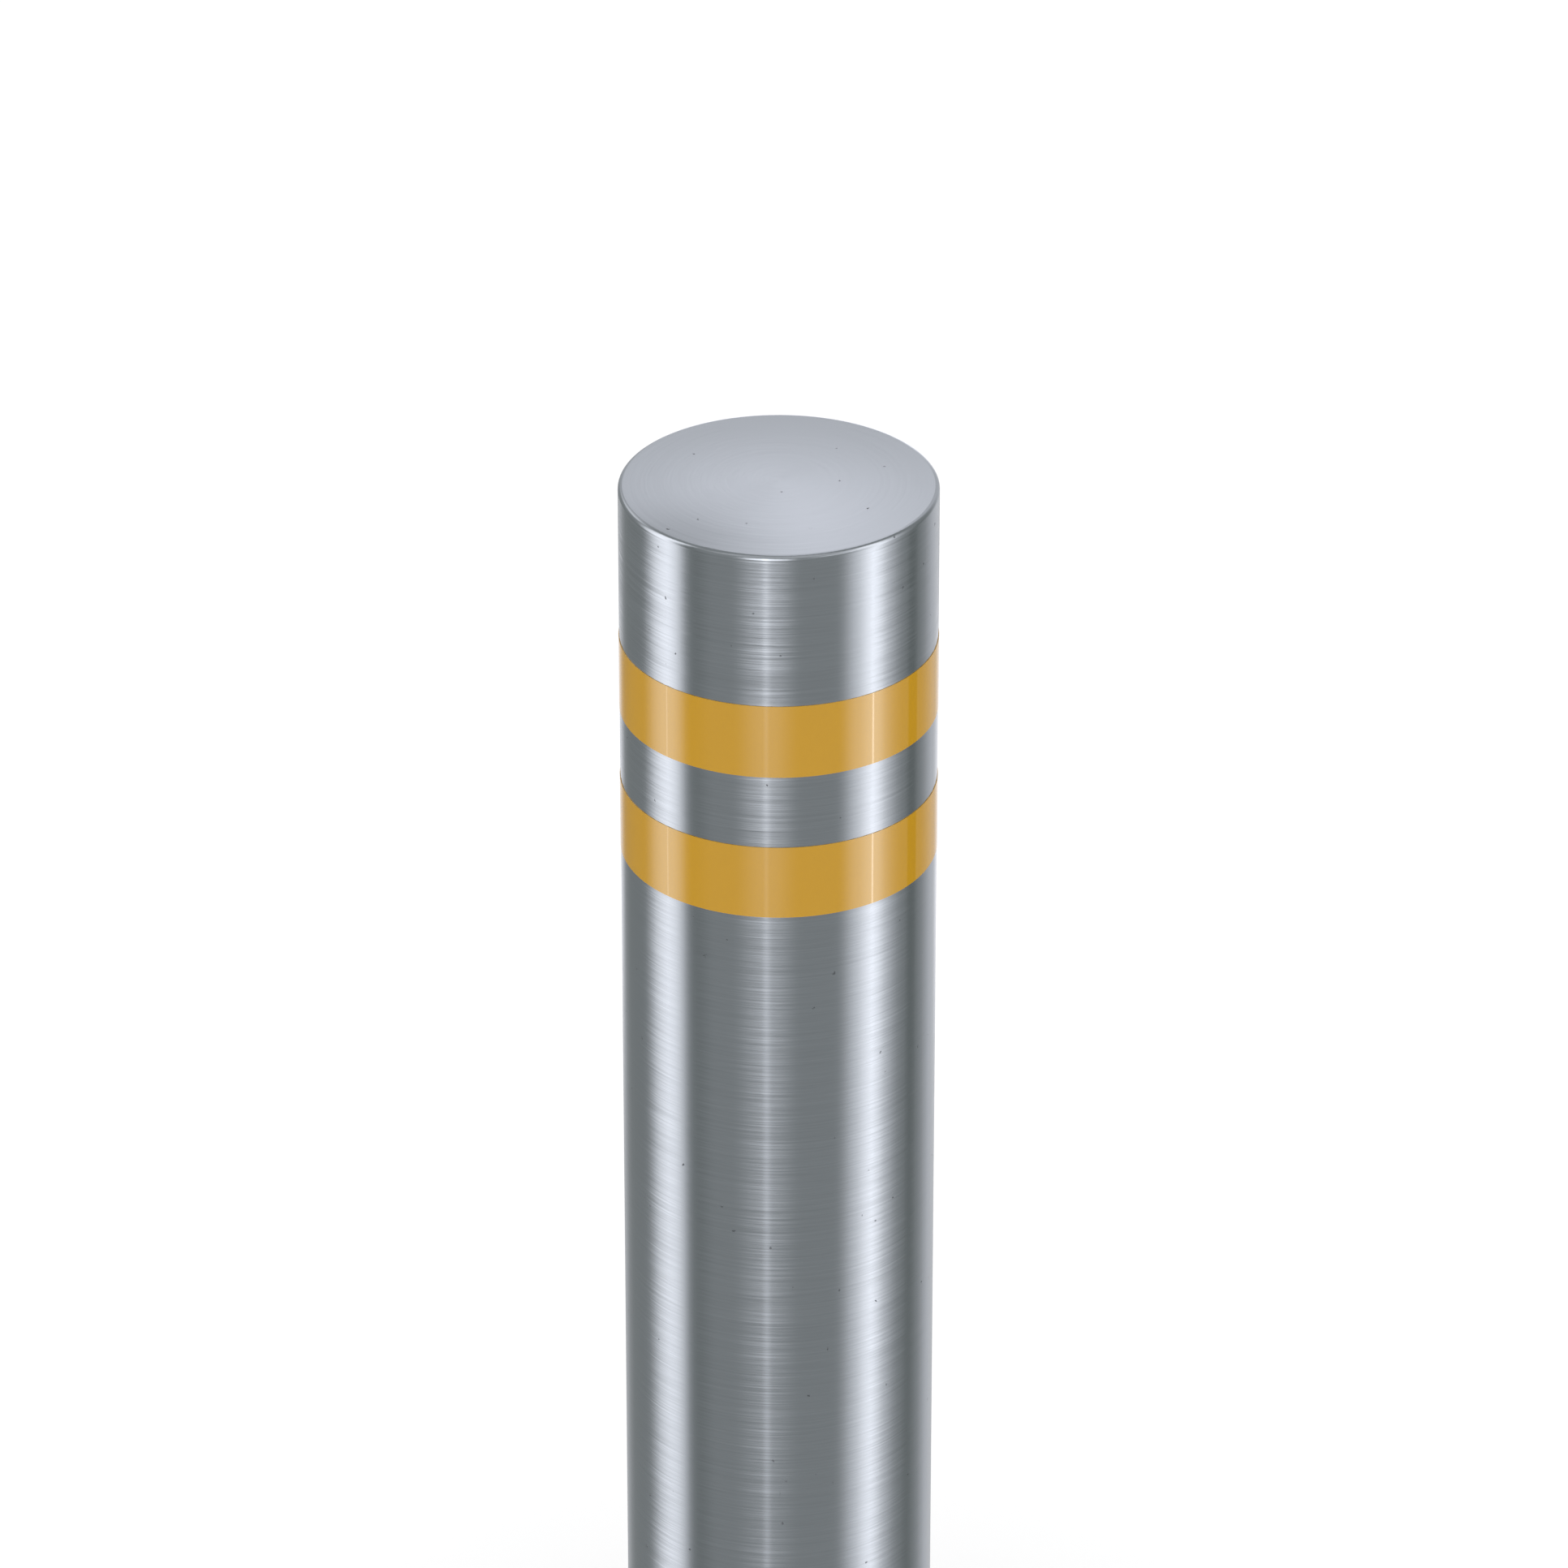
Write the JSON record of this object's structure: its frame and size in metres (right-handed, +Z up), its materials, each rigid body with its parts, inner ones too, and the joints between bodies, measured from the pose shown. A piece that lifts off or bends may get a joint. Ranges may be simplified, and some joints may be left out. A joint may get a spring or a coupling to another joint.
{
  "type": "safety bollard",
  "caption": "Upright brushed stainless tube bollard with a crowned cap, yellow reflective bands, an inner steel core and a bolt-down round foot under a sliding cover.",
  "frame": {"origin": "centre of the base plate's underside, at ground level", "axes": "+Z up along the post's axis, -Y towards the side seen from the front"},
  "size_m": [0.333, 0.333, 1],
  "materials": {
    "brushed_stainless": "satin, brushed around the tube",
    "cap_stainless": "satin, fine circular brushing",
    "cover_stainless": "satin",
    "galvanised_steel": "hot-dip galvanised, matte, spangled",
    "screw_steel": "plain, slightly dull",
    "yellow_tape": "smooth reflective film",
    "black_rubber": "matte"
  },
  "bodies": {
    "core": {"base_plate": "galvanised_steel", "core_post": "galvanised_steel", "gusset_right": "galvanised_steel", "gusset_back": "galvanised_steel", "gusset_left": "galvanised_steel", "gusset_front": "galvanised_steel", "seat_ring": "galvanised_steel", "core_top_plate": "galvanised_steel", "lift_nut": "screw_steel", "top_buffer": "black_rubber"},
    "sleeve": {"post_sleeve": "brushed_stainless", "post_cap": "cap_stainless", "upper_band": "yellow_tape", "lower_band": "yellow_tape", "upper_centring_ring": "black_rubber", "lower_centring_ring": "black_rubber", "sleeve_nut_right": "screw_steel", "sleeve_nut_left": "screw_steel", "sleeve_nut_front": "screw_steel", "sleeve_screw_right": "screw_steel", "sleeve_screw_left": "screw_steel", "sleeve_screw_front": "screw_steel"},
    "cover": {"base_cover": "cover_stainless", "cover_collar": "cover_stainless", "collar_o_ring": "black_rubber", "cover_edge_trim": "black_rubber", "cover_screw_back": "screw_steel", "cover_screw_left": "screw_steel", "cover_screw_right": "screw_steel"}
  },
  "joints": [
    {"name": "sleeve_lift", "type": "slide", "parent": "core", "child": "sleeve", "axis": [0, 0, 1], "range_m": [0, 0.96]},
    {"name": "cover_lift", "type": "slide", "parent": "core", "child": "cover", "axis": [0, 0, 1], "range_m": [0, 0.16]}
  ]
}
